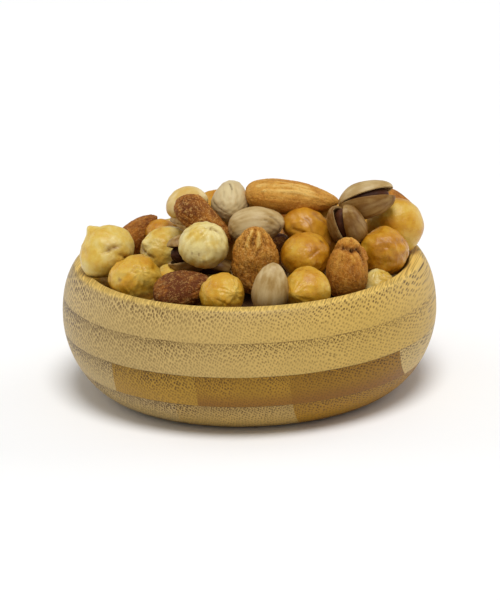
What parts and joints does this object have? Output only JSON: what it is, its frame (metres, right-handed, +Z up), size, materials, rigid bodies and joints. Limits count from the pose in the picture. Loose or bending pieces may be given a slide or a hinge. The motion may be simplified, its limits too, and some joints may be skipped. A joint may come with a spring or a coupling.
{
  "type": "bowl of mixed nuts",
  "caption": "Low round bamboo bowl with a full belly, heaped with loose roasted nuts: hazelnuts, almonds, cashews and pistachios in the shell.",
  "frame": {"origin": "middle of the bowl's foot, on the table", "axes": "+Z up; -Y towards the side of the heap that the picture shows; +X to the right as seen from there"},
  "size_m": [0.11, 0.11, 0.0627],
  "materials": {
    "bamboo": "satin",
    "hazelnut": "satin",
    "almond": "matt",
    "cashew": "satin",
    "pistachio_shell": "satin",
    "pistachio_kernel": "matt",
    "heap_core": "matt"
  },
  "bodies": {
    "root": {"bamboo_bowl": "bamboo", "nut_heap": "hazelnut"}
  },
  "joints": []
}
